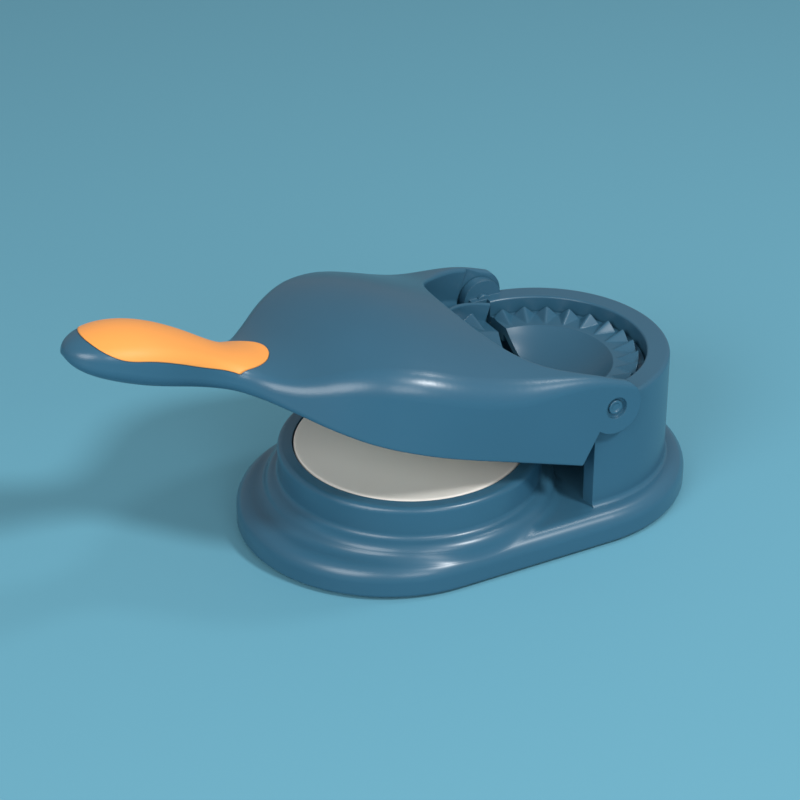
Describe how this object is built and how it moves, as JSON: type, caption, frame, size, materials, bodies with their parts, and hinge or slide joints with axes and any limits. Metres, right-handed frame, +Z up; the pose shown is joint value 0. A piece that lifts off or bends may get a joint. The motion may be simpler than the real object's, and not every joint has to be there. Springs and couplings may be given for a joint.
{
  "type": "ravioli press",
  "caption": "Hand press for ravioli: a domed lever on an oval base flattens dough on a round plate, then folds over so that toothed half moulds crimp the filled pocket.",
  "frame": {"origin": "middle of the oval foot, on the table plane that the rubber feet stand on", "axes": "+X from the handle towards the hinge tower, -Y the near side in the picture, +Z up"},
  "size_m": [0.243, 0.113, 0.1065],
  "materials": {
    "blue_plastic": "satin",
    "white_plastic": "satin",
    "orange_grip": "soft matte",
    "rubber": "matte",
    "steel": "satin"
  },
  "bodies": {
    "base": {"base_shell": "blue_plastic", "dough_plate": "white_plastic", "dough_plate_screws": "steel", "base_half_mould": "blue_plastic", "base_mould_screws": "steel", "front_hinge_pin": "blue_plastic", "rear_hinge_pin": "blue_plastic", "rubber_foot_front_left": "rubber", "rubber_foot_front_right": "rubber", "rubber_foot_rear_left": "rubber", "rubber_foot_rear_right": "rubber", "rubber_foot_middle": "rubber"},
    "lever": {"lever_shell": "blue_plastic", "handle_cover": "blue_plastic", "handle_cover_screws": "steel", "grip_inlay": "orange_grip", "press_disc": "white_plastic", "lever_half_mould": "blue_plastic", "lever_mould_screws": "steel"}
  },
  "joints": [
    {"name": "lever_hinge", "type": "hinge", "parent": "base", "child": "lever", "pos_m": [0.033, 0, 0.055], "axis": [0, 1, 0], "range_deg": [-18.5, 161.5]}
  ]
}
